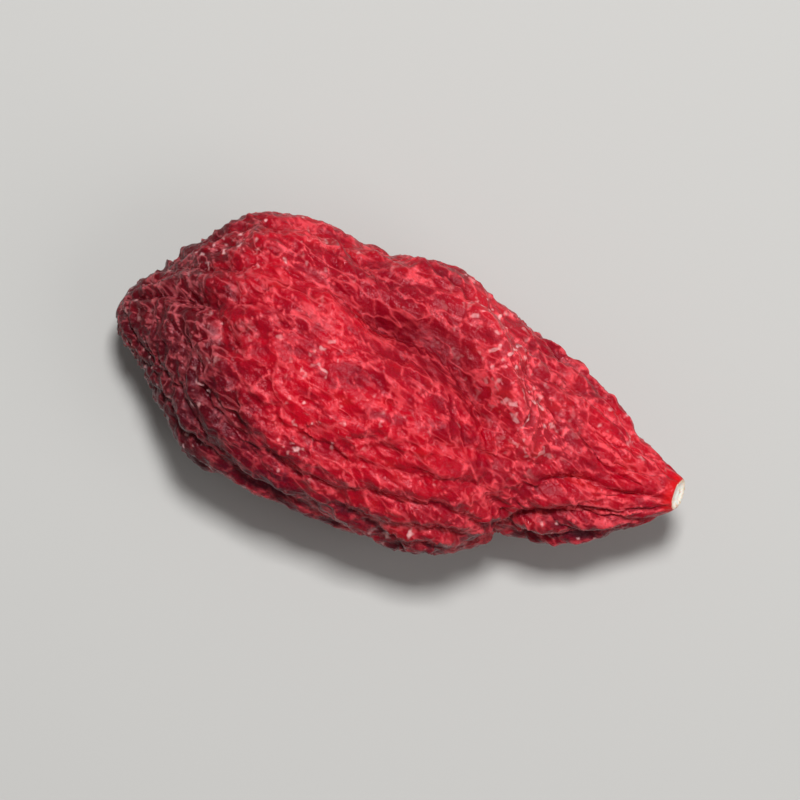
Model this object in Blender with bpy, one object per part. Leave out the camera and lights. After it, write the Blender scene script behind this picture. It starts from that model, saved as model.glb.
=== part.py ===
# Dried goji berry: one shrivelled fruit lying on its side on a small flat spot.
# The stalk scar is the tip towards +X, the blunt style end is towards -X, up is +Z.
# The skin is one closed form: a loft of unlike ovals, drawn in by furrows and ridged by wrinkles.

import bmesh
import bpy
import numpy as np

# Driving dimension, in metres: everything else follows it in proportion
BERRY_LENGTH = 0.0160

# Mesh fineness
SEGMENTS_AROUND = 96
RINGS_ALONG = 54

# The form is worked out in drawing units, about a millimetre each, before it is brought to size
FORM_START = -8.0
FORM_LENGTH = 15.86

# Ovals along the fruit: place on X, half width left (+Y), half width right (-Y), half height above the
# axis, half height below it, height of the axis
OVALS = np.array([
    (-7.80, 0.66, 0.62, 0.60, 0.64, 2.30),
    (-7.20, 1.45, 1.04, 1.25, 1.20, 2.35),
    (-6.30, 2.60, 1.90, 1.95, 1.80, 2.48),
    (-5.20, 3.62, 3.02, 2.55, 2.14, 2.62),
    (-3.60, 3.80, 3.42, 3.00, 2.52, 2.75),
    (-1.80, 3.52, 3.60, 3.14, 2.70, 2.80),
    (0.00, 3.76, 3.66, 3.06, 2.68, 2.80),
    (1.60, 3.25, 3.66, 2.80, 2.48, 2.76),
    (2.60, 2.90, 3.15, 2.45, 2.24, 2.70),
    (3.40, 2.60, 2.34, 2.15, 2.10, 2.66),
    (4.60, 2.17, 2.22, 1.80, 1.80, 2.64),
    (5.50, 1.64, 1.92, 1.46, 1.54, 2.66),
    (6.05, 1.12, 1.62, 1.24, 1.30, 2.70),
    (6.60, 0.88, 1.27, 1.00, 1.04, 2.80),
    (7.20, 0.60, 0.80, 0.74, 0.74, 2.95),
    (7.62, 0.42, 0.46, 0.47, 0.44, 3.10),
])
BLUNT_POLE = (-7.97, 2.30)
SCAR_POLE = (7.86, 3.20)

# Furrows where the drying flesh drew the skin in: points (fraction of the length, degrees round the
# fruit from +Y over the top), depth and half width
FURROWS = [
    # hollow across the top, and the crease that leads into it
    ([(0.34, 50), (0.44, 56), (0.52, 60), (0.585, 65), (0.63, 76), (0.66, 88), (0.70, 102)], 0.84, 0.92),
    ([(0.18, 50), (0.28, 51), (0.38, 50), (0.46, 56), (0.53, 61)], 0.26, 0.28),
    # ridge beside the hollow, raised instead of drawn in
    ([(0.54, 32), (0.60, 44), (0.65, 60), (0.70, 80), (0.76, 98)], -0.36, 0.50),
    # creases from the notch in the right side along the tip
    ([(0.66, 190), (0.70, 168), (0.767, 142), (0.84, 132), (0.89, 139), (0.95, 148)], 0.32, 0.24),
    ([(0.72, 186), (0.80, 166), (0.87, 161), (0.95, 156)], 0.15, 0.20),
    # two creases over the top of the tip, drawn together at the scar
    ([(0.72, 120), (0.76, 111), (0.81, 103), (0.87, 104), (0.93, 108), (0.99, 109)], 0.18, 0.17),
    ([(0.76, 58), (0.807, 73), (0.84, 83), (0.895, 92), (0.97, 94)], 0.15, 0.17),
    # pleats along the left side of the tip
    ([(0.50, 26), (0.62, 30), (0.74, 36), (0.86, 46), (0.95, 60)], 0.20, 0.18),
    ([(0.54, 10), (0.68, 12), (0.80, 18), (0.90, 28)], 0.20, 0.18),
    # fold over the blunt end
    ([(0.05, 58), (0.12, 73), (0.16, 80), (0.20, 88), (0.245, 96)], 0.24, 0.24),
    # right flank of the blunt end
    ([(0.12, 146), (0.22, 152), (0.32, 160), (0.44, 166)], 0.18, 0.30),
    ([(0.15, 172), (0.26, 182), (0.42, 188)], 0.26, 0.26),
    # underside
    ([(0.10, 212), (0.30, 224), (0.55, 226), (0.72, 214), (0.92, 200)], 0.55, 0.46),
    ([(0.06, 250), (0.16, 246), (0.30, 240)], 0.34, 0.40),
    ([(0.70, 262), (0.80, 258), (0.94, 262)], 0.34, 0.36),
    ([(0.10, 306), (0.30, 312), (0.50, 314), (0.76, 308), (0.94, 312)], 0.55, 0.46),
    ([(0.06, 348), (0.22, 340), (0.44, 338), (0.64, 342), (0.86, 350)], 0.42, 0.38),
]

# Wrinkles between the furrows: short ripples scattered over the skin, mostly running lengthwise
WRINKLE_SEED = 3
WRINKLE_SPACING = 1.05
WRINKLE_REACH = 1.15
WRINKLE_SPREAD_DEGREES = 15.0
WRINKLE_HEIGHT = 0.22
WRINKLES_PER_PATCH = 5.0

# Stalk scar: a flat oval facing along +X and a little up
SCAR_CENTRE = np.array([7.66, -0.02, 3.14])
SCAR_FACING = np.array([0.90, 0.02, 0.38])

# Small nub left by the style on the blunt end
NUB_HEIGHT = 0.12
NUB_RADIUS = 0.45

# Flat spot under the fruit: how much of the belly is pressed flat, and where it is
FLAT_DEPTH = 0.16
FLAT_CENTRE = np.array([-1.0, 0.05])
FLAT_CALM = np.array([2.2, 1.4])

SKIN_COLOUR = (0.38, 0.018, 0.030, 1.0)
SKIN_ROUGHNESS = 0.5


def through(places, values, at):
    """Smooth curve through values given at places, read at the asked places."""
    slopes = np.gradient(values, places, axis=0)
    i = np.clip(np.searchsorted(places, at, "right") - 1, 0, len(places) - 2)
    gap = places[i + 1] - places[i]
    t = (at - places[i]) / gap
    if values.ndim > 1:
        t, gap = t[..., None], gap[..., None]
    start = (1 + 2 * t) * (1 - t) ** 2 * values[i] + t * (1 - t) ** 2 * gap * slopes[i]
    end = t * t * (3 - 2 * t) * values[i + 1] + t * t * (t - 1) * gap * slopes[i + 1]
    return start + end


def loft_rows():
    """Ovals with a pole at each end, and the share of the skin's length that each lies at."""
    first = np.array([[BLUNT_POLE[0], 0, 0, 0, 0, BLUNT_POLE[1]]])
    last = np.array([[SCAR_POLE[0], 0, 0, 0, 0, SCAR_POLE[1]]])
    rows = np.vstack([first, OVALS, last])
    mirror = np.array([1, -1, -1, -1, -1, 1])
    rows = np.vstack([rows[1] * mirror, rows, rows[-2] * mirror])
    radius = rows[:, 1:5].mean(axis=1)
    share = np.concatenate([[0], np.cumsum(np.hypot(np.diff(rows[:, 0]), np.diff(radius)))])
    return (share - share[1]) / (share[-2] - share[1]), rows


SHARES, ROWS = loft_rows()


def mean_radius(share):
    """Mean of an oval's four half sizes."""
    return np.abs(through(SHARES, ROWS, share)[..., 1:5]).mean(axis=-1)


def smooth_form(share, angle):
    """Point on the loft before any furrow: a quarter of an ellipse in each quadrant."""
    oval = through(SHARES, ROWS, share)
    across, up = np.cos(angle), np.sin(angle)
    half_width = np.where(across > 0, oval[..., 1], oval[..., 2])
    half_height = np.where(up > 0, oval[..., 3], oval[..., 4])
    return np.stack([oval[..., 0], half_width * across, oval[..., 5] + half_height * up], axis=-1)


def directions(share, angle):
    """Unit vectors along the fruit, around it and out of the skin."""
    step = 0.001
    along = smooth_form(share + step, angle) - smooth_form(share - step, angle)
    around = smooth_form(share, angle + step) - smooth_form(share, angle - step)
    along /= np.linalg.norm(along, axis=-1, keepdims=True) + 1e-12
    around /= np.linalg.norm(around, axis=-1, keepdims=True) + 1e-12
    outward = np.cross(around, along)
    outward /= np.linalg.norm(outward, axis=-1, keepdims=True) + 1e-12
    return along, around, outward


def furrow_height(fraction, angle, radius):
    """Height of all furrows: a rounded valley with a low shoulder on each side of its path."""
    height = np.zeros_like(fraction)
    for path, depth, half_width in FURROWS:
        points = np.array(path, dtype=float)
        start, end = points[0, 0], points[-1, 0]
        centre = np.radians(through(points[:, 0], points[:, 1], np.clip(fraction, start, end)))
        turn = (angle - centre + np.pi) % (2 * np.pi) - np.pi
        fade = np.clip(np.minimum(fraction - start, end - fraction) / (0.30 * (end - start)), 0, 1)
        fade = fade * fade * (3 - 2 * fade)
        narrowing = np.clip(radius / 2.2, 0.35, 1.0)
        offset = np.abs(turn) * radius / (half_width * narrowing)
        valley = (1 + offset ** 2) ** -1.5
        shoulder = 0.25 * np.exp(-((offset - 2.2) / 1.1) ** 2)
        height += depth * narrowing * fade * (shoulder - valley)
    return height


def wrinkle_height(points):
    """Height of the wrinkles: ripples scattered evenly over the skin, each a wave under a bell."""
    random = np.random.default_rng(WRINKLE_SEED)
    shares = np.linspace(0.002, 0.998, 300)
    radii = mean_radius(shares)
    filled = np.cumsum(radii)
    filled = (filled - filled[0]) / (filled[-1] - filled[0])
    skin_area = 2 * np.pi * radii.mean() * 17.5
    count = int(WRINKLES_PER_PATCH * skin_area / (np.pi * WRINKLE_REACH ** 2))
    share = np.interp(random.random(count), filled, shares)
    angle = random.random(count) * 2 * np.pi
    slant = np.radians(random.normal(0, 1, count) * WRINKLE_SPREAD_DEGREES)
    phase = random.random(count) * 2 * np.pi
    centre = smooth_form(share, angle)
    along, around, _ = directions(share, angle)
    narrowing = np.clip(mean_radius(share) / 2.4, 0.45, 1.0)
    across = around * np.cos(slant)[:, None] + along * np.sin(slant)[:, None]
    wave = np.zeros(len(points), dtype=complex)
    for i in range(count):
        away = points - centre[i]
        ahead = away @ across[i]
        reach = WRINKLE_REACH * narrowing[i]
        bell = np.exp(-((away ** 2).sum(axis=-1) + 2.2 * ahead ** 2) / (2 * reach ** 2))
        turns = 2 * np.pi * ahead / (WRINKLE_SPACING * narrowing[i])
        wave += bell * np.exp(1j * (turns + phase[i]))
    size = np.abs(wave)
    strength = np.clip(1.5 * size / (size + 0.5 * np.median(size)), 0, 1.2)
    ridge = np.sqrt(np.cos(np.angle(wave) / 2) ** 2 + 0.0225) - 0.6
    return WRINKLE_HEIGHT * ridge * strength


def berry_points(share, angle):
    """Points of the finished skin, in drawing units, standing on the flat spot."""
    points = smooth_form(share, angle)
    outward = directions(share, angle)[2]
    radius = mean_radius(share)
    fraction = (points[:, 0] - FORM_START) / FORM_LENGTH
    # wrinkles die out at the poles, are weak on the bright crown and nearly gone round the flat spot
    ends = np.clip(radius / 0.9, 0, 1)
    crown = np.clip(np.sin(angle), 0, 1) * np.clip(1.3 - np.abs(fraction - 0.48) / 0.35, 0, 1)
    low = np.clip(-np.sin(angle), 0, 1)
    spot = low * np.exp(-(((points[:, :2] - FLAT_CENTRE) / FLAT_CALM) ** 2).sum(axis=-1))
    height = wrinkle_height(points) * ends * (1 - 0.55 * crown) + furrow_height(fraction, angle, radius)
    height *= 1 - 0.85 * spot
    blunt = smooth_form(np.zeros(1), np.zeros(1))[0]
    nub = np.linalg.norm((points - blunt)[:, 1:], axis=-1) / NUB_RADIUS
    height += np.where(fraction < 0.2, NUB_HEIGHT * np.exp(-nub ** 2), 0)
    points = points + outward * height[:, None]
    # the scar: what would stand past its plane is brought back onto it
    facing = SCAR_FACING / np.linalg.norm(SCAR_FACING)
    past = np.clip((points - SCAR_CENTRE) @ facing, 0, None)
    points -= past[:, None] * facing
    # the flat spot: the lowest skin is pressed level
    points[:, 2] -= points[:, 2].min() + FLAT_DEPTH
    points[:, 2] = np.maximum(points[:, 2], 0)
    return points


def build_berry():
    """The whole fruit: a ball whose points are moved onto the shrivelled skin."""
    ball = bmesh.new()
    bmesh.ops.create_uvsphere(ball, u_segments=SEGMENTS_AROUND, v_segments=RINGS_ALONG, radius=1.0)
    at = np.array([vertex.co for vertex in ball.verts], dtype=float)
    share = 1 - np.arccos(np.clip(at[:, 2], -1, 1)) / np.pi
    angle = np.arctan2(at[:, 1], at[:, 0])
    points = berry_points(share, angle)
    low, high = points.min(axis=0), points.max(axis=0)
    points[:, :2] -= (low + high)[:2] / 2
    points *= BERRY_LENGTH / (high[0] - low[0])
    for vertex, point in zip(ball.verts, points):
        vertex.co = point
    mesh = bpy.data.meshes.new("dried_goji_berry")
    ball.to_mesh(mesh)
    ball.free()
    mesh.shade_smooth()
    return bpy.data.objects.new("dried_goji_berry", mesh)


def skin_material():
    """Dull red dried skin."""
    material = bpy.data.materials.new("dried_berry_skin")
    material.use_nodes = True
    shader = material.node_tree.nodes["Principled BSDF"]
    shader.inputs["Base Color"].default_value = SKIN_COLOUR
    shader.inputs["Roughness"].default_value = SKIN_ROUGHNESS
    shader.inputs["Metallic"].default_value = 0.0
    return material


for old in list(bpy.data.objects):
    bpy.data.objects.remove(old)

collection = bpy.data.collections.new("dried_goji_berry")
bpy.context.scene.collection.children.link(collection)
berry = build_berry()
berry.data.materials.append(skin_material())
collection.objects.link(berry)
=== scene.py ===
import math

import bpy
import numpy as np
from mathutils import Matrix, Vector


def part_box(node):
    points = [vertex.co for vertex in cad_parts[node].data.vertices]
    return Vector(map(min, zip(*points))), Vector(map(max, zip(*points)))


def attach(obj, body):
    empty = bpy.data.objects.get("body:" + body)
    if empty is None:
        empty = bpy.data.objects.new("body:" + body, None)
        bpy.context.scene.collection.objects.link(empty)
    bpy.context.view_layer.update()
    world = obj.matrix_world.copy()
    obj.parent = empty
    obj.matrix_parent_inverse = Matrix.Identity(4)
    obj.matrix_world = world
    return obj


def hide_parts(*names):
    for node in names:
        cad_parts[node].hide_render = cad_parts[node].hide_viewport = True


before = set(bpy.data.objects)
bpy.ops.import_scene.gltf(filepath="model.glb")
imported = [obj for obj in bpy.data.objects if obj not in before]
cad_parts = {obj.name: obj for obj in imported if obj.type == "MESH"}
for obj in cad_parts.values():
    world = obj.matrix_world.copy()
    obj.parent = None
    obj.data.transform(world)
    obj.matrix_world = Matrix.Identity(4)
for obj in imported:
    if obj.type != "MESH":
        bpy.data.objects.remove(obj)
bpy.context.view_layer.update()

# Everything about the fruit's form is in drawing units of about a millimetre,
# and the finished skin is brought to the size and place of the plain solid.

# the fruit's outline: each oval is place on X, half width left, half width right,
# half height above the axis, half height below it, height of the axis
form = {
    "start": -8.0,
    "length": 15.86,
    "ovals": [
        (-7.80, 0.66, 0.62, 0.60, 0.64, 2.30),
        (-7.20, 1.45, 1.04, 1.25, 1.20, 2.35),
        (-6.30, 2.60, 1.90, 1.95, 1.80, 2.48),
        (-5.20, 3.62, 3.02, 2.55, 2.14, 2.62),
        (-3.60, 3.80, 3.42, 3.00, 2.52, 2.75),
        (-1.80, 3.52, 3.60, 3.14, 2.70, 2.80),
        (0.00, 3.76, 3.66, 3.06, 2.68, 2.80),
        (1.60, 3.25, 3.66, 2.80, 2.48, 2.76),
        (2.60, 2.90, 3.15, 2.45, 2.24, 2.70),
        (3.40, 2.60, 2.34, 2.15, 2.10, 2.66),
        (4.60, 2.17, 2.22, 1.80, 1.80, 2.64),
        (5.50, 1.64, 1.92, 1.46, 1.54, 2.66),
        (6.05, 1.12, 1.62, 1.24, 1.30, 2.70),
        (6.60, 0.88, 1.27, 1.00, 1.04, 2.80),
        (7.20, 0.60, 0.80, 0.74, 0.74, 2.95),
        (7.62, 0.42, 0.46, 0.47, 0.44, 3.10),
    ],
    "bluntPole": (-7.97, 2.30),
    "scarPole": (7.86, 3.20),
    "nubHeight": 0.12,
    "nubRadius": 0.45,
    "flatDepth": 0.16,
    "flatCentre": (-1.0, 0.05),
    "flatCalm": (2.2, 1.4),
}

# furrows: points (fraction of the length, degrees round from +Y over the top), depth, half width
furrows = [
    # hollow across the top, and the crease that leads into it
    ([(0.34, 50), (0.44, 56), (0.52, 60), (0.585, 65), (0.63, 76), (0.66, 88), (0.70, 102)], 0.84, 0.92),
    ([(0.18, 50), (0.28, 51), (0.38, 50), (0.46, 56), (0.53, 61)], 0.26, 0.28),
    # ridge beside the hollow, raised instead of drawn in
    ([(0.54, 32), (0.60, 44), (0.65, 60), (0.70, 80), (0.76, 98)], -0.36, 0.50),
    # creases from the notch in the right side along the tip
    ([(0.66, 190), (0.70, 168), (0.767, 142), (0.84, 132), (0.89, 139), (0.95, 148)], 0.32, 0.24),
    ([(0.72, 186), (0.80, 166), (0.87, 161), (0.95, 156)], 0.15, 0.20),
    # two creases over the top of the tip, drawn together at the scar
    ([(0.72, 120), (0.76, 111), (0.81, 103), (0.87, 104), (0.93, 108), (0.99, 109)], 0.18, 0.17),
    ([(0.76, 58), (0.807, 73), (0.84, 83), (0.895, 92), (0.97, 94)], 0.15, 0.17),
    # pleats along the left side of the tip
    ([(0.50, 26), (0.62, 30), (0.74, 36), (0.86, 46), (0.95, 60)], 0.20, 0.18),
    ([(0.54, 10), (0.68, 12), (0.80, 18), (0.90, 28)], 0.20, 0.18),
    # fold over the blunt end
    ([(0.05, 58), (0.12, 73), (0.16, 80), (0.20, 88), (0.245, 96)], 0.24, 0.24),
    # right flank of the blunt end
    ([(0.12, 146), (0.22, 152), (0.32, 160), (0.44, 166)], 0.18, 0.30),
    ([(0.15, 172), (0.26, 182), (0.42, 188)], 0.26, 0.26),
    # underside
    ([(0.10, 212), (0.30, 224), (0.55, 226), (0.72, 214), (0.92, 200)], 0.55, 0.46),
    ([(0.06, 250), (0.16, 246), (0.30, 240)], 0.34, 0.40),
    ([(0.70, 262), (0.80, 258), (0.94, 262)], 0.34, 0.36),
    ([(0.10, 306), (0.30, 312), (0.50, 314), (0.76, 308), (0.94, 312)], 0.55, 0.46),
    ([(0.06, 348), (0.22, 340), (0.44, 338), (0.64, 342), (0.86, 350)], 0.42, 0.38),
]

# every furrow narrows with the fruit, fades in and out along its path, and has a low shoulder on
# each side of its valley
furrowForm = {"fullRadius": 2.2, "narrowest": 0.35, "fade": 0.30, "shoulder": 0.25,
              "shoulderAt": 2.2, "shoulderWidth": 1.1}

# ripples scattered over the skin: spacing of the ridges, reach of each ripple, their slant from
# lengthwise, how much more they slant where the skin is drawn across, how far they stray, height,
# how much narrower than long each one is, and how unlike their spacings are
wrinkles = {"seed": 3, "spacing": 1.05, "reach": 1.15, "slant": 0, "swing": 0, "spread": 15,
            "height": 0.22, "squeeze": 2.2, "unlike": 0}
skinCrumple = {"seed": 4, "spacing": 0.95, "reach": 0.72, "slant": -18, "swing": -38, "spread": 24,
               "height": 0.085, "squeeze": 1.8, "unlike": 0.25}
skinWinding = {"seed": 5, "spacing": 0.42, "reach": 0.42, "slant": -18, "swing": -42, "spread": 28,
               "height": 0.060, "squeeze": 2.0, "unlike": 0.35}
skinPleats = {"seed": 8, "spacing": 0.44, "reach": 0.60, "slant": -4, "swing": 0, "spread": 16,
              "height": 0.066, "squeeze": 2.0, "unlike": 0.20}
skinGrain = {"seed": 9, "spacing": 0.25, "reach": 0.20, "slant": 0, "swing": 0, "spread": 60,
             "height": 0.024, "squeeze": 0.0, "unlike": 0.20}

# facets between thin creases: size, how much longer than wide, slant as above, height of the crest
# between two facets and its half width, and how steeply each facet tilts
skinFacets = {"seed": 12, "size": 0.48, "longer": 2.3, "slant": -18, "swing": -42, "spread": 28,
              "crest": 0.048, "crestWidth": 0.075, "tilt": 0.16}

# the scar's face, with the puckers that stand round it
scar = {
    "centre": (7.66, -0.02, 3.14),
    "facing": (0.90, 0.02, 0.38),
    "rim": 0.035,
    "rimReach": 0.30,
    "dish": 0.06,
    "rings": 3.5,
    "ringHeight": 0.008,
    "puckers": 12,
    "puckerHeight": 0.04,
    "puckersAt": 0.955,
    "puckerReach": 0.03,
}

# where each tint lies: lines over the top, as points on X and Y, with how far each spreads to either
# side, the first for painted shade in the hollow and the second for a painted highlight on the lit
# ridge beside it; how far the dark blunt end reaches, as a fraction of the length; the line under which
# the right side is plum with painted shade, as fraction of the length and degrees round from +Y, with
# the degrees that it blends over; and how strongly the left side and the underside are plum
tints = {
    "hollow": [(-1.9, 2.8), (0.0, 2.3), (1.2, 1.7), (1.8, 1.2)],
    "hollowSpread": 0.62,
    "litRidge": [(1.4, 3.2), (2.4, 1.8), (3.2, 0.5)],
    "litRidgeSpread": 0.90,
    "endReach": 0.215,
    "endSlant": 0.050,
    "endBlend": 0.18,
    "plumLine": [(0.20, 98), (0.26, 112), (0.32, 124), (0.41, 134), (0.49, 140), (0.62, 147),
                 (0.70, 147), (0.76, 146), (0.82, 138), (0.90, 146), (0.97, 165)],
    "plumBlend": 24,
    "leftPlum": 0.35,
    "underPlum": 0.55,
}

# grid of the skin; how many reaches away from its place a ripple and a facet are still worked out;
# length of the skin from pole to pole, and the one that the count of scattered places goes by; how
# far the skin leans in over its valleys, and the steepest slope that counts for it
skinMesh = {"rings": 300, "around": 330, "rippleCut": 2.8, "facetCut": 3.2, "length": 18.0,
            "countLength": 17.5, "pinch": 0.10, "steepest": 0.9}


# smooth curve through values given at places: a cubic on each gap, sloped like its neighbours
def through(places, values, at):
    slopes = np.gradient(values, places, axis=0)
    i = np.clip(np.searchsorted(places, at, "right") - 1, 0, len(places) - 2)
    gap = places[i + 1] - places[i]
    t = (at - places[i]) / gap
    if values.ndim > 1:
        t, gap = t[..., None], gap[..., None]
    first = (1 + 2 * t) * (1 - t) ** 2 * values[i] + t * (1 - t) ** 2 * gap * slopes[i]
    second = t * t * (3 - 2 * t) * values[i + 1] + t * t * (t - 1) * gap * slopes[i + 1]
    return first + second


# ovals with a pole at each end, and the share of the skin's length that each lies at
def loftRows():
    firstRow = np.array([[form["bluntPole"][0], 0, 0, 0, 0, form["bluntPole"][1]]])
    lastRow = np.array([[form["scarPole"][0], 0, 0, 0, 0, form["scarPole"][1]]])
    rows = np.vstack([firstRow, np.array(form["ovals"]), lastRow])
    mirror = np.array([1, -1, -1, -1, -1, 1])
    rows = np.vstack([rows[1] * mirror, rows, rows[-2] * mirror])
    radius = rows[:, 1:5].mean(axis=1)
    share = np.concatenate([[0], np.cumsum(np.hypot(np.diff(rows[:, 0]), np.diff(radius)))])
    return (share - share[1]) / (share[-2] - share[1]), rows


ovalShares, ovalRows = loftRows()


# mean of an oval's four half sizes
def meanRadius(share):
    return np.abs(through(ovalShares, ovalRows, share)[..., 1:5]).mean(axis=-1)


# point of the form before any furrow: a quarter of an ellipse in each quadrant of the oval
def smoothForm(share, angle):
    oval = through(ovalShares, ovalRows, share)
    across, up = np.cos(angle), np.sin(angle)
    halfWidth = np.where(across > 0, oval[..., 1], oval[..., 2])
    halfHeight = np.where(up > 0, oval[..., 3], oval[..., 4])
    return np.stack([oval[..., 0], halfWidth * across, oval[..., 5] + halfHeight * up], axis=-1)


# unit vectors along the fruit, around it and out of the skin
def directions(share, angle):
    step = 0.001
    along = smoothForm(share + step, angle) - smoothForm(share - step, angle)
    around = smoothForm(share, angle + step) - smoothForm(share, angle - step)
    along /= np.linalg.norm(along, axis=-1, keepdims=True) + 1e-12
    around /= np.linalg.norm(around, axis=-1, keepdims=True) + 1e-12
    outward = np.cross(around, along)
    outward /= np.linalg.norm(outward, axis=-1, keepdims=True) + 1e-12
    return along, around, outward


# smooth step from 0 at low to 1 at high
def ease(value, low, high):
    t = np.clip((value - low) / (high - low), 0, 1)
    return t * t * (3 - 2 * t)


# height of all furrows: a rounded valley with a low shoulder on each side of its path
def furrowHeight(fraction, angle, radius):
    height = np.zeros_like(fraction)
    for path, depth, halfWidth in furrows:
        points = np.array(path, dtype=float)
        start, end = points[0, 0], points[-1, 0]
        centre = np.radians(through(points[:, 0], points[:, 1], np.clip(fraction, start, end)))
        turn = (angle - centre + np.pi) % (2 * np.pi) - np.pi
        fade = ease(np.minimum(fraction - start, end - fraction), 0, furrowForm["fade"] * (end - start))
        narrowing = np.clip(radius / furrowForm["fullRadius"], furrowForm["narrowest"], 1.0)
        offset = np.abs(turn) * radius / (halfWidth * narrowing)
        valley = (1 + offset ** 2) ** -1.5
        fromShoulder = (offset - furrowForm["shoulderAt"]) / furrowForm["shoulderWidth"]
        shoulder = furrowForm["shoulder"] * np.exp(-fromShoulder ** 2)
        height += depth * narrowing * fade * (shoulder - valley)
    return height


# where the skin is drawn across the fruit, from 0 to 1: on the blunt end and beside the hollow
def drawnAcross(share, angle):
    fraction = (smoothForm(share, angle)[:, 0] - form["start"]) / form["length"]
    beside = np.exp(-((fraction - 0.67) / 0.08) ** 2) * ease(np.sin(angle), 0.3, 0.9)
    return np.maximum(ease(-fraction, -0.26, -0.14), beside)


# how much finer ripples and facets are where the fruit is thin: its radius over a full one
def narrowed(radius):
    return np.clip(radius / 2.4, 0.45, 1.0)


# places spread evenly over the skin, one for each so many square units: where each one is, its
# radius, and the direction its ridges lie across
def scattered(random, each, settings):
    shares = np.linspace(0.002, 0.998, 300)
    radii = meanRadius(shares)
    filled = np.cumsum(radii)
    filled = (filled - filled[0]) / (filled[-1] - filled[0])
    count = int(2 * np.pi * radii.mean() * skinMesh["countLength"] / each)
    at = np.interp(random.random(count), filled, shares)
    turned = random.random(count) * 2 * np.pi
    slant = settings["slant"] + settings["swing"] * drawnAcross(at, turned)
    slant = np.radians(slant + random.normal(0, 1, count) * settings["spread"])
    along, around, _ = directions(at, turned)
    across = around * np.cos(slant)[:, None] + along * np.sin(slant)[:, None]
    return at, turned, meanRadius(at), across


# the part of the grid within reach of a place: a slice of rows and a list of columns
def patchOf(at, turned, radius, reach, share, columns):
    along = reach / skinMesh["length"]
    rows = slice(np.searchsorted(share, at - along), np.searchsorted(share, at + along))
    half = int(1.25 * reach / max(radius, 0.05) / (2 * np.pi) * columns) + 1
    if 2 * half + 1 >= columns:
        return rows, np.arange(columns)
    return rows, (int(turned / (2 * np.pi) * columns) + np.arange(-half, half + 1)) % columns


# ripples spread evenly over the skin, each a wave under a bell: a complex number a point,
# whose angle is the place within a ripple and whose size is how sure the pattern is there
def rippleField(points, share, settings):
    random = np.random.default_rng(settings["seed"])
    at, turned, radius, across = scattered(random, np.pi * settings["reach"] ** 2 / 5.0, settings)
    phase = random.random(len(at)) * 2 * np.pi
    spacing = settings["spacing"] * np.exp(settings["unlike"] * random.normal(0, 1, len(at)))
    centre = smoothForm(at, turned)
    narrowing = narrowed(radius)
    wave = np.zeros(points.shape[:2], dtype=complex)
    for i in range(len(at)):
        reach = settings["reach"] * narrowing[i]
        cut = skinMesh["rippleCut"] * reach
        rows, columns = patchOf(at[i], turned[i], radius[i], cut, share, points.shape[1])
        away = points[rows][:, columns] - centre[i]
        ahead = away @ across[i]
        bell = np.exp(-((away ** 2).sum(axis=-1) + settings["squeeze"] * ahead ** 2) / (2 * reach ** 2))
        turns = 2 * np.pi * ahead / (spacing[i] * narrowing[i])
        wave[rows, columns] += bell * np.exp(1j * (turns + phase[i]))
    return wave


# skin in small facets, each nearest to its own scattered place: how far it is to the crest that
# parts a facet from the next, and the rise of each facet along its tilt
def facetField(points, share, settings):
    random = np.random.default_rng(settings["seed"])
    at, turned, radius, across = scattered(random, settings["size"] ** 2, settings)
    centre = smoothForm(at, turned)
    narrowing = narrowed(radius)
    tilt = random.normal(0, 1, (len(at), 3)) * settings["tilt"]
    nearest = np.full(points.shape[:2], 9.0)
    second = np.full(points.shape[:2], 9.0)
    rise = np.zeros(points.shape[:2])
    for i in range(len(at)):
        cut = skinMesh["facetCut"] * settings["size"] * narrowing[i]
        rows, columns = patchOf(at[i], turned[i], radius[i], cut, share, points.shape[1])
        away = points[rows][:, columns] - centre[i]
        ahead = away @ across[i]
        narrower = (settings["longer"] ** 2 - 1) * ahead ** 2
        apart = np.sqrt((away ** 2).sum(axis=-1) + narrower) / narrowing[i]
        closest = nearest[rows, columns]
        rise[rows, columns] = np.where(apart < closest, away @ tilt[i], rise[rows, columns])
        second[rows, columns] = np.minimum(second[rows, columns], np.maximum(apart, closest))
        nearest[rows, columns] = np.minimum(closest, apart)
    return second - nearest, rise


# how sure a ripple is: 0 where ripples cancel, about 1 where they agree
def sureness(wave):
    size = np.abs(wave)
    return np.clip(1.5 * size / (size + 0.5 * np.median(size)), 0, 1.2)


# broad ridges with sharp valleys between them
def broadRidges(wave):
    return (np.sqrt(np.cos(np.angle(wave) / 2) ** 2 + 0.0225) - 0.6) * sureness(wave)


# waves as high as the ripples agree, so that some of the skin is smooth
def looseWaves(wave):
    return wave.real / np.median(np.abs(wave)) * 0.5


# slope of the height at each point: a vector in the skin that points uphill, held to the steepest
def uphill(points, height):
    alongStep = np.gradient(points, axis=0)
    aroundStep = (np.roll(points, -1, 1) - np.roll(points, 1, 1)) / 2
    alongRise = np.gradient(height, axis=0)[..., None]
    aroundRise = ((np.roll(height, -1, 1) - np.roll(height, 1, 1)) / 2)[..., None]
    alongLength = np.linalg.norm(alongStep, axis=-1, keepdims=True) + 1e-9
    aroundLength = np.linalg.norm(aroundStep, axis=-1, keepdims=True) + 1e-9
    slope = alongRise * alongStep / alongLength ** 2 + aroundRise * aroundStep / aroundLength ** 2
    return slope / np.maximum(1, np.linalg.norm(slope, axis=-1, keepdims=True) / skinMesh["steepest"])


# nearness to a line over the top, from 0 to 1: a bell across it that fades past its ends
def nearLine(points, line, spread):
    line = np.array(line)
    across = (points[..., 1] - np.interp(points[..., 0], line[:, 0], line[:, 1])) / spread
    past = np.maximum(line[0, 0] - points[..., 0], points[..., 0] - line[-1, 0]) / spread
    return np.exp(-across ** 2 - np.clip(past, 0, None) ** 2) * ease(points[..., 2], 2.0, 3.4)


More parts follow.
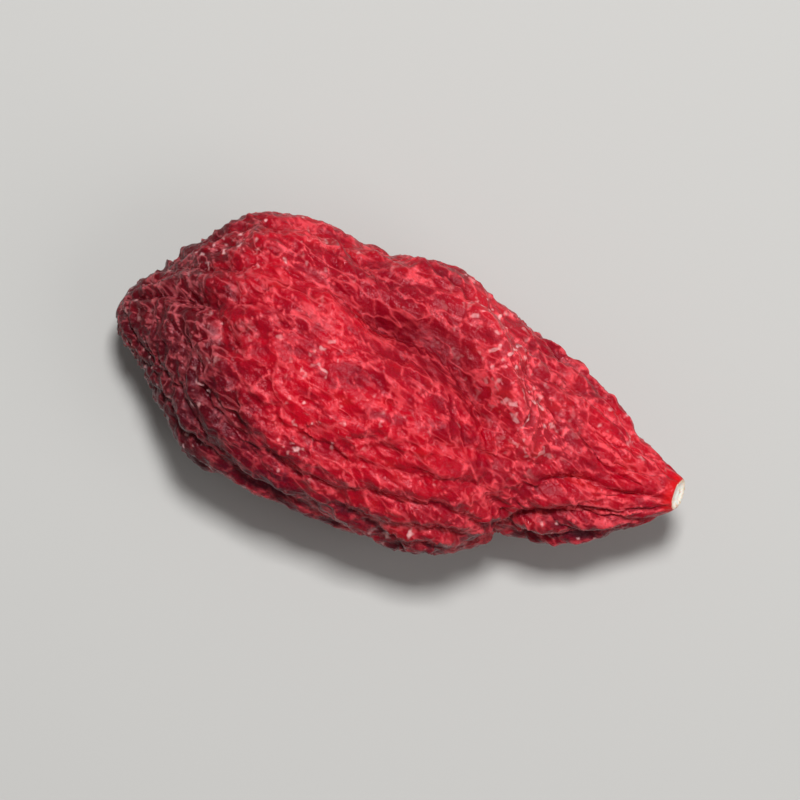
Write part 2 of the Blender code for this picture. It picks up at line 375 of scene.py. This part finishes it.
# the grid of the skin: how far along and round each point is, the smooth form there with its way
# out and its radius, the place along the fruit as a fraction of its length, and three weights: ends
# falls to 0 at the poles, crown rises to 1 on the top of the belly, calm falls round the flat spot
def skinGrid():
    share = np.arange(1, skinMesh["rings"]) / skinMesh["rings"]
    turned = np.arange(skinMesh["around"]) * 2 * np.pi / skinMesh["around"]
    shareGrid, angle = np.meshgrid(share, turned, indexing="ij")
    base = smoothForm(shareGrid, angle)
    radius = meanRadius(share)[:, None] * np.ones_like(angle)
    fraction = (base[..., 0] - form["start"]) / form["length"]
    fromSpot = (base[..., :2] - np.array(form["flatCentre"])) / np.array(form["flatCalm"])
    under = np.clip(-np.sin(angle), 0, 1)
    return {
        "share": share,
        "angle": angle,
        "base": base,
        "outward": directions(shareGrid, angle)[2],
        "radius": radius,
        "fraction": fraction,
        "ends": np.clip(radius / 0.9, 0, 1),
        "crown": np.clip(np.sin(angle), 0, 1) * np.clip(1.3 - np.abs(fraction - 0.48) / 0.35, 0, 1),
        "calm": 1 - 0.85 * under * np.exp(-(fromSpot ** 2).sum(axis=-1)),
    }


# furrows, large wrinkles and the small nub left by the style, as in the plain solid, but low near
# the scar, so that its edge is round; the second result is the height that the painted shade of the
# valleys goes by, in which furrows count by about half
def largeRelief(grid):
    fraction = grid["fraction"]
    furrow = furrowHeight(fraction, grid["angle"], grid["radius"])
    wrinkle = broadRidges(rippleField(grid["base"], grid["share"], wrinkles)) * wrinkles["height"]
    wrinkle *= grid["ends"] * (1 - 0.55 * grid["crown"])
    height = (furrow + wrinkle) * grid["calm"] * (1 - 0.65 * ease(fraction, 0.93, 0.98))
    bluntPole = smoothForm(np.zeros(1), np.zeros(1))[0]
    fromPole = np.linalg.norm((grid["base"] - bluntPole)[..., 1:], axis=-1) / form["nubRadius"]
    height += np.where(fraction < 0.2, form["nubHeight"] * np.exp(-fromPole ** 2), 0)
    return height, 0.46 * furrow + wrinkle


# fine skin: loose crumples, short winding ridges, small facets with thin crests between them,
# pleats running lengthwise on the flanks and the tip, and puckers round the scar, whose edge is
# smooth; the second result is the mask of the crests
def fineRelief(grid):
    base, share, angle, fraction = (grid[name] for name in ("base", "share", "angle", "fraction"))
    crumple = looseWaves(rippleField(base, share, skinCrumple)) * skinCrumple["height"]
    winding = looseWaves(rippleField(base, share, skinWinding)) * skinWinding["height"]
    pleats = broadRidges(rippleField(base, share, skinPleats))
    grain = broadRidges(rippleField(base, share, skinGrain)) * skinGrain["height"]
    toCrest, rise = facetField(base, share, skinFacets)
    crest = np.exp(-toCrest / skinFacets["crestWidth"])
    facets = crest * skinFacets["crest"] + rise * (1 - crest)

    # pleats take the place of facets on the flanks and the tip
    flank = ease(np.abs(np.cos(angle)), 0.70, 1.0)
    pleated = np.maximum(0.45 * flank * ease(fraction, 0.10, 0.26), ease(fraction, 0.74, 0.86))
    fine = (winding + facets) * (1 - 0.6 * pleated)
    fine += pleats * skinPleats["height"] * (0.06 + 0.94 * pleated)

    # stronger in some places than in others, and calmer on the crown and under the fruit
    patches = 0.80 + 0.20 * np.cos(2 * angle + 9 * fraction + 2 * np.sin(3 * angle))
    fine = (fine + crumple) * (1 - 0.25 * grid["crown"]) * patches + grain
    fine *= grid["ends"] * (0.4 + 0.6 * grid["calm"])

    pucker = np.cos(scar["puckers"] * angle + 1.6 * np.sin(3 * angle))
    pucker *= np.exp(-((fraction - scar["puckersAt"]) / scar["puckerReach"]) ** 2)
    fine += scar["puckerHeight"] * pucker * grid["ends"]
    fine *= 1 - 0.9 * ease(fraction, 0.945, 0.980)
    # pale crests and pleat tops, partly painted highlight
    pale = crest * (1 - 0.5 * pleated) + pleated * ease(pleats, 0.1, 0.4)
    return fine, ease(pale, 0.30, 0.80)


# the scar: what would stand past its plane lies on it, in a shallow ringed dish with a rim; with
# it come the masks of the scar, of its edge and of the skin drawn tight round it
def scarFace(points):
    facing = np.array(scar["facing"]) / np.linalg.norm(scar["facing"])
    ahead = (points - np.array(scar["centre"])) @ facing
    past = np.clip(ahead, 0, None)
    inward = past / past.max()
    onScar = ease(past, 0.0, 0.03)
    rise = scar["rim"] * onScar * np.exp(-(inward / scar["rimReach"]) ** 2)
    rise -= scar["dish"] * ease(inward, 0.15, 0.9)
    rise += scar["ringHeight"] * onScar * np.cos(2 * np.pi * scar["rings"] * inward)
    masks = {
        "scar": onScar,
        "scarEdge": onScar * np.exp(-(inward / 0.36) ** 2),
        "collar": ease(ahead, -0.30, -0.06),
    }
    return points + (rise - past)[:, None] * facing, masks


# masks from 0 to 1 for the finish, from the relief and from where each tint lies; those of the
# valleys, the pits and the hollow carry painted shade, that of the lit ridge a painted highlight
def finishMasks(grid, sunken, fine, crests):
    angle, fraction = grid["angle"], grid["fraction"]
    # the dark blunt end reaches further along the right side than along the left
    edge = tints["endReach"] - tints["endSlant"] * np.cos(angle - 0.1) + 0.01 * np.sin(3 * angle + 1.0)
    # the plum side, partly painted shade, starts under its line, and ends below and at the tip
    plumLine = np.array(tints["plumLine"])
    lineAngle = np.radians(np.interp(fraction, plumLine[:, 0], plumLine[:, 1]))
    plumAndShade = ease((angle - lineAngle) / np.radians(tints["plumBlend"]), -0.5, 0.6)
    plumAndShade *= ease(np.radians(250) - angle, 0, 0.8) * ease(-fraction, -0.99, -0.90)
    plumAndShade = np.maximum(plumAndShade, tints["leftPlum"] * ease(np.cos(angle), 0.80, 1.0))
    plumAndShade = np.maximum(plumAndShade, tints["underPlum"] * ease(-np.sin(angle), 0.2, 0.8))
    return {
        # painted shade: the valleys and the pits are darkened where shade falls in them
        "valley": ease(-sunken, 0.0, 0.34),
        "pitShade": ease(-fine, 0.02, 0.09),
        "ridge": crests,
        "darkEnd": np.clip(0.5 + (edge - fraction) / tints["endBlend"], 0, 1),
        "plumAndShade": np.clip(plumAndShade, 0, 1),
        # painted shade over the hollow across the top, where its red is also deeper
        "hollowShade": nearLine(grid["base"], tints["hollow"], tints["hollowSpread"]),
        # painted highlight: the lit ridge beside the hollow is lightened
        "ridgeHighlight": nearLine(grid["base"], tints["litRidge"], tints["litRidgeSpread"]),
    }


# the whole skin: its relief stands out from the smooth form and leans in over the valleys, a point
# closes it at each pole, and its lowest part is pressed level as the flat spot
def berrySkin():
    grid = skinGrid()
    base, outward = grid["base"], grid["outward"]
    height, sunken = largeRelief(grid)
    fine, crests = fineRelief(grid)
    points = base + outward * (height + fine)[..., None]
    slope = uphill(base + outward * height[..., None], height)
    points -= skinMesh["pinch"] * grid["ends"][..., None] * slope
    poles = np.stack([points[0].mean(axis=0), points[-1].mean(axis=0)])
    everyPoint, masks = scarFace(np.vstack([poles, points.reshape(-1, 3)]))
    everyPoint[:, 2] -= everyPoint[:, 2].min() + form["flatDepth"]
    everyPoint[:, 2] = np.maximum(everyPoint[:, 2], 0)
    for name, values in finishMasks(grid, sunken, fine, crests).items():
        masks[name] = np.concatenate([[values[0].mean(), values[-1].mean()], values.ravel()])
    return everyPoint, masks


# quads between neighbouring rings and a fan of triangles at each pole, all facing out
def skinFaces():
    rings, around = skinMesh["rings"] - 1, skinMesh["around"]
    index = np.arange(rings * around).reshape(rings, around) + 2
    beside = np.roll(index, -1, axis=1)
    quads = np.stack([index[:-1], index[1:], beside[1:], beside[:-1]], axis=-1).reshape(-1, 4)
    bluntFan = np.stack([np.zeros(around, int), index[0], beside[0]], axis=-1)
    scarFan = np.stack([np.ones(around, int), beside[-1], index[-1]], axis=-1)
    return quads.tolist() + bluntFan.tolist() + scarFan.tolist()


# brings the drawing to the plain solid's box: centred, same length, width and height
def fitted(points, lowCorner, highCorner):
    low, high = points.min(axis=0), points.max(axis=0)
    return lowCorner + (points - low) * (highCorner - lowCorner) / (high - low)


print("working out the skin")
drawn, skinMasks = berrySkin()
lowCorner, highCorner = (np.array(corner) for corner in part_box("dried_goji_berry"))
placed = fitted(drawn, lowCorner, highCorner)

mesh = bpy.data.meshes.new("wrinkledSkin")
mesh.from_pydata(placed.tolist(), [], skinFaces())
for name, values in skinMasks.items():
    layer = mesh.attributes.new(name, "FLOAT", "POINT")
    layer.data.foreach_set("value", values.astype(np.float32))
mesh.shade_smooth()
skin = bpy.data.objects.new("wrinkledSkin", mesh)
bpy.context.scene.collection.objects.link(skin)
print("skin has", len(mesh.vertices), "points")

# colours of the skin and the scar
finish = {
    "brightRed": (0.500, 0.002, 0.014, 1),
    "deepRed": (0.240, 0.0015, 0.011, 1),
    "orangeRed": (0.580, 0.018, 0.016, 1),
    # painted shade for the valleys and the pits
    "valleyShadeRed": (0.130, 0.001, 0.006, 1),
    "endMaroon": (0.062, 0.0015, 0.005, 1),
    # plum tone, partly painted shade on the lower flank
    "flankPlumAndShade": (0.066, 0.001, 0.008, 1),
    # pale crests, partly the skin's own paler tone and partly painted highlight
    "ridgePink": (0.900, 0.088, 0.112, 1),
    "endRidge": (0.600, 0.110, 0.130, 1),
    "collarRed": (0.640, 0.004, 0.006, 1),
    "cork": (0.780, 0.530, 0.350, 1),
    "cream": (0.960, 0.910, 0.830, 1),
    # painted glints
    "glint": (0.950, 0.520, 0.520, 1),
}

# size of one blot of each noise in metres; how fast some of them change along each axis, so that a
# low number draws them out; how far the winding creases are turned about the upright axis
pattern = {
    "blots": 0.0030,
    "patches": 0.0013,
    "patchPace": (0.6, 1.0, 1.0),
    "mottle": 0.0007,
    "mottlePace": (0.45, 1.0, 1.0),
    "speck": 0.00016,
    "winding": 0.00046,
    "windingPace": (0.32, 1.0, 1.0),
    "windingSlant": -20,
    "dots": 0.00024,
    "pores": 0.00009,
}

# how strongly each tint covers what is under it; the tints of the hollow, the valleys and the pits
# are painted shade, that of the lit ridge a painted highlight, and the specks painted glints
cover = {
    "orange": 0.60,
    "mottled": 0.80,
    "patched": 0.65,
    "hollow": 0.62,
    "darkEnd": 0.90,
    "valley": 0.56,
    "pitShade": 0.22,
    "ridgeHighlight": 0.12,
    "streak": 0.52,
    "glint": 0.75,
    "collar": 0.85,
    "scarEdge": 0.90,
}

# gloss, finest relief and inner glow of the skin, with lengths in metres
feel = {
    "dull": 0.36,
    "waxy": 0.13,
    "valleyDull": 0.16,
    "scarDull": 0.30,
    "poreShare": 0.25,
    "foldDepth": 0.16,
    "bumpStrength": 0.90,
    "bumpDistance": 0.00016,
    "glow": 0.35,
    "glowScale": 0.0005,
    "glowRadius": (1.0, 0.22, 0.14),
    "refraction": 1.42,
    "specular": 0.38,
    "specularTint": (1.0, 0.56, 0.64, 1.0),
}


# links a socket to an input, or sets a plain value on it
def fed(tree, socket, value):
    if isinstance(value, bpy.types.NodeSocket):
        tree.links.new(value, socket)
    else:
        socket.default_value = value


# first colour where the factor is 0, second where it is 1, and their blend between
def mixed(tree, factor, first, second):
    node = tree.nodes.new("ShaderNodeMix")
    node.data_type = "RGBA"
    node.clamp_factor = True
    fed(tree, node.inputs[0], factor)
    fed(tree, node.inputs[6], first)
    fed(tree, node.inputs[7], second)
    return node.outputs[2]


# one step of arithmetic on up to three values
def worked(tree, operation, *values):
    node = tree.nodes.new("ShaderNodeMath")
    node.operation = operation
    for socket, value in zip(node.inputs, values):
        fed(tree, socket, value)
    return node.outputs[0]


# product of two values
def times(tree, first, second):
    return worked(tree, "MULTIPLY", first, second)


# value times (1 - loss times mask), so that it is weaker where the mask is strong
def lessWhere(tree, value, mask, loss):
    return times(tree, value, worked(tree, "MULTIPLY_ADD", mask, -loss, 1.0))


# smooth step from newLow where the value is low to newHigh where it is high
def ranged(tree, value, low, high, newLow=0.0, newHigh=1.0):
    node = tree.nodes.new("ShaderNodeMapRange")
    node.interpolation_type = "SMOOTHSTEP"
    tree.links.new(value, node.inputs[0])
    for socket, number in zip(list(node.inputs)[1:5], (low, high, newLow, newHigh)):
        socket.default_value = number
    return node.outputs[0]


# one of the skin's own masks
def masked(tree, name):
    node = tree.nodes.new("ShaderNodeAttribute")
    node.attribute_name = name
    return node.outputs["Fac"]


# noise on the piece's own coordinates, with values mostly from 0.3 to 0.7; its pace and slant turn
# round blots into long ones
def noise(tree, place, size, detail=2.0, roughness=0.5, pace=None, slant=0.0):
    node = tree.nodes.new("ShaderNodeTexNoise")
    node.inputs["Scale"].default_value = 1.0 / size
    node.inputs["Detail"].default_value = detail
    node.inputs["Roughness"].default_value = roughness
    if pace:
        mapping = tree.nodes.new("ShaderNodeMapping")
        mapping.vector_type = "TEXTURE"
        mapping.inputs["Scale"].default_value = [1 / each for each in pace]
        mapping.inputs["Rotation"].default_value = (0, 0, math.radians(slant))
        tree.links.new(place, mapping.inputs["Vector"])
        place = mapping.outputs["Vector"]
    tree.links.new(place, node.inputs["Vector"])
    return node.outputs[0]


# flesh: bright and deep red in blots, a little orange where it is thin, deeper red with painted shade
# in the hollow, plum with painted shade on the right side, maroon on the blunt end and darkest in the
# valleys, where the dark is painted shade
def fleshColour(tree, blots, patches, mottle, plumAndShade, ragged):
    colour = mixed(tree, ranged(tree, blots, 0.36, 0.56, 0.45, 1.0), finish["deepRed"], finish["brightRed"])
    thin = ranged(tree, mottle, 0.52, 0.72, 0.0, cover["orange"])
    colour = mixed(tree, thin, colour, finish["orangeRed"])
    mottled = ranged(tree, mottle, 0.50, 0.32, 0.0, cover["mottled"])
    colour = mixed(tree, mottled, colour, finish["deepRed"])
    patched = ranged(tree, patches, 0.48, 0.34, 0.0, cover["patched"])
    colour = mixed(tree, patched, colour, finish["deepRed"])
    # painted shade over the hollow, where its red is also deeper
    colour = mixed(tree, times(tree, masked(tree, "hollowShade"), cover["hollow"]), colour, finish["deepRed"])
    # plum tone, partly painted shade on the lower flank
    colour = mixed(tree, plumAndShade, colour, finish["flankPlumAndShade"])
    colour = mixed(tree, times(tree, ragged, cover["darkEnd"]), colour, finish["endMaroon"])
    # painted shade: darkest in the valleys and the pits
    colour = mixed(tree, times(tree, masked(tree, "valley"), cover["valley"]), colour, finish["valleyShadeRed"])
    return mixed(tree, times(tree, masked(tree, "pitShade"), cover["pitShade"]), colour, finish["valleyShadeRed"])


# crests and narrow creases over the flesh are paler, pink on the flesh and dusky on the blunt end:
# partly the skin's own paler crests and partly painted highlight
def withCrests(tree, colour, speck, mottle, plumAndShade, ragged, folds):
    crestColour = mixed(tree, ragged, finish["ridgePink"], finish["endRidge"])
    ridgeHighlight = masked(tree, "ridgeHighlight")
    # painted highlight on the lit ridge beside the hollow, with paler crests there
    colour = mixed(tree, times(tree, ridgeHighlight, cover["ridgeHighlight"]), colour, finish["ridgePink"])
    pale = times(tree, masked(tree, "ridge"), ranged(tree, speck, 0.40, 0.54, 0.15, 1.00))
    pale = times(tree, pale, worked(tree, "MULTIPLY_ADD", ridgeHighlight, 0.70, 0.80))
    pale = lessWhere(tree, pale, masked(tree, "hollowShade"), 0.40)
    pale = lessWhere(tree, pale, masked(tree, "valley"), 0.65)
    pale = lessWhere(tree, pale, plumAndShade, 0.72)
    colour = mixed(tree, pale, colour, crestColour)
    streak = ranged(tree, mottle, 0.38, 0.58, 0.05, cover["streak"])
    streak = times(tree, ranged(tree, folds, 0.055, 0.0), streak)
    streak = lessWhere(tree, streak, plumAndShade, 0.60)
    return mixed(tree, streak, colour, crestColour)


# painted glints: small pale specks, in loose groups, and more of them on the lit ridge
def withPaintedGlints(tree, colour, place, blots):
    dots = noise(tree, place, pattern["dots"], 1.0)
    grouped = times(tree, ranged(tree, dots, 0.62, 0.80), ranged(tree, blots, 0.46, 0.62))
    litRidge = times(tree, ranged(tree, dots, 0.57, 0.71), masked(tree, "ridgeHighlight"))
    glint = worked(tree, "MAXIMUM", grouped, litRidge)
    return mixed(tree, times(tree, glint, cover["glint"]), colour, finish["glint"])


# clear red skin drawn tight round the scar, and the cream scar, tan towards its edge
def withScar(tree, colour, speck):
    colour = mixed(tree, times(tree, masked(tree, "collar"), cover["collar"]), colour, finish["collarRed"])
    corky = mixed(tree, ranged(tree, speck, 0.28, 0.44), finish["cork"], finish["cream"])
    edge = times(tree, masked(tree, "scarEdge"), cover["scarEdge"])
    corky = mixed(tree, edge, corky, finish["cork"])
    return mixed(tree, ranged(tree, masked(tree, "scar"), 0.35, 0.95), colour, corky)


# dried skin: the colours above, waxy on the crests and duller in the valleys and on the scar, with
# pores and narrow creases that are too small for the mesh as a bump
def skinMaterial():
    material = bpy.data.materials.new("driedSkin")
    material.use_nodes = True
    tree = material.node_tree
    shader = tree.nodes["Principled BSDF"]
    place = tree.nodes.new("ShaderNodeTexCoord").outputs["Object"]

    blots = noise(tree, place, pattern["blots"], 3.0)
    patches = noise(tree, place, pattern["patches"], 2.0, 0.5, pattern["patchPace"])
    mottle = noise(tree, place, pattern["mottle"], 4.0, 0.6, pattern["mottlePace"])
    speck = noise(tree, place, pattern["speck"], 2.0)

    # a narrow crease lies where this noise passes its middle value
    slant = pattern["windingSlant"]
    winding = noise(tree, place, pattern["winding"], 2.0, 0.5, pattern["windingPace"], slant)
    folds = worked(tree, "ABSOLUTE", worked(tree, "SUBTRACT", winding, 0.5))

    # the plum side, partly painted shade, is mottled, and the dark blunt end has a ragged edge
    plumAndShade = times(tree, masked(tree, "plumAndShade"), ranged(tree, mottle, 0.35, 0.65, 0.95, 0.50))
    frayed = worked(tree, "ADD", times(tree, mottle, 1.5), times(tree, speck, 0.7))
    ragged = ranged(tree, worked(tree, "ADD", masked(tree, "darkEnd"), frayed), 1.20, 2.05)

    colour = fleshColour(tree, blots, patches, mottle, plumAndShade, ragged)
    colour = withCrests(tree, colour, speck, mottle, plumAndShade, ragged, folds)
    colour = withPaintedGlints(tree, colour, place, blots)
    colour = withScar(tree, colour, speck)
    tree.links.new(colour, shader.inputs["Base Color"])

    rough = ranged(tree, mottle, 0.34, 0.66, feel["dull"], feel["waxy"])
    rough = worked(tree, "ADD", rough, times(tree, masked(tree, "valley"), feel["valleyDull"]))
    rough = worked(tree, "ADD", rough, times(tree, masked(tree, "scar"), feel["scarDull"]))
    tree.links.new(rough, shader.inputs["Roughness"])

    pores = noise(tree, place, pattern["pores"], 3.0, 0.6)
    raised = worked(tree, "SUBTRACT", times(tree, pores, feel["poreShare"]),
                    worked(tree, "MINIMUM", folds, feel["foldDepth"]))
    bump = tree.nodes.new("ShaderNodeBump")
    bump.inputs["Strength"].default_value = feel["bumpStrength"]
    bump.inputs["Distance"].default_value = feel["bumpDistance"]
    tree.links.new(raised, bump.inputs["Height"])
    tree.links.new(bump.outputs["Normal"], shader.inputs["Normal"])

    shader.inputs["Subsurface Weight"].default_value = feel["glow"]
    shader.inputs["Subsurface Scale"].default_value = feel["glowScale"]
    shader.inputs["Subsurface Radius"].default_value = feel["glowRadius"]
    shader.inputs["IOR"].default_value = feel["refraction"]
    shader.inputs["Specular IOR Level"].default_value = feel["specular"]
    shader.inputs["Specular Tint"].default_value = feel["specularTint"]
    return material


mesh.materials.append(skinMaterial())
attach(skin, "root")
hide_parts("dried_goji_berry")
print("skin has its finish")

# a pale floor and sky, a small key lamp above and towards the top of the picture, and a large weak
# lamp on the right
studio = {
    "floorSize": 0.6,
    "floorColour": (0.50, 0.495, 0.48, 1),
    "floorRoughness": 0.8,
    "skyColour": (1.0, 0.99, 0.97, 1),
    "skyStrength": 0.17,
    "keyFrom": (-0.006, 0.050, 0.140),
    "keySize": 0.028,
    "keyPower": 0.22,
    "fillFrom": (0.110, -0.010, 0.100),
    "fillSize": 0.10,
    "fillPower": 0.05,
}


# one even colour and roughness all over
def plainMaterial(name, colour, roughness):
    material = bpy.data.materials.new(name)
    material.use_nodes = True
    shader = material.node_tree.nodes["Principled BSDF"]
    shader.inputs["Base Color"].default_value = colour
    shader.inputs["Roughness"].default_value = roughness
    return material


reach = studio["floorSize"] / 2
corners = [(-reach, -reach, 0), (reach, -reach, 0), (reach, reach, 0), (-reach, reach, 0)]
floorMesh = bpy.data.meshes.new("floor")
floorMesh.from_pydata(corners, [], [(0, 1, 2, 3)])
floorMesh.materials.append(plainMaterial("paleFloor", studio["floorColour"], studio["floorRoughness"]))
floor = bpy.data.objects.new("floor", floorMesh)
bpy.context.scene.collection.objects.link(floor)

middle = Vector((lowCorner + highCorner) / 2)


# a square lamp turned towards the middle of the fruit
def lamp(name, place, size, power):
    light = bpy.data.lights.new(name, "AREA")
    light.size = size
    light.energy = power
    holder = bpy.data.objects.new(name, light)
    holder.location = place
    holder.rotation_euler = (middle - Vector(place)).to_track_quat("-Z", "Y").to_euler()
    bpy.context.scene.collection.objects.link(holder)


lamp("keyLamp", studio["keyFrom"], studio["keySize"], studio["keyPower"])
lamp("fillLamp", studio["fillFrom"], studio["fillSize"], studio["fillPower"])

world = bpy.data.worlds.new("studio")
bpy.context.scene.world = world
world.use_nodes = True
sky = world.node_tree.nodes["Background"]
sky.inputs["Color"].default_value = studio["skyColour"]
sky.inputs["Strength"].default_value = studio["skyStrength"]

# the photo looks straight down, with the tip to the right and 18.4 degrees downwards; width is how
# much of the floor the picture shows, sensor the film's width in millimetres
view = {"lens": 200.0, "sensor": 36.0, "width": 0.02137, "turn": 18.4, "nearest": 0.001}
camera = bpy.data.objects.new("camera", bpy.data.cameras.new("camera"))
camera.data.lens = view["lens"]
camera.data.sensor_width = view["sensor"]
camera.data.clip_start = view["nearest"]
above = view["width"] * view["lens"] / view["sensor"]
camera.location = middle + Vector((0, 0, above))
camera.rotation_euler = (0, 0, math.radians(view["turn"]))
bpy.context.scene.collection.objects.link(camera)
bpy.context.scene.camera = camera
bpy.context.scene.view_settings.view_transform = "Standard"
print("studio is set")
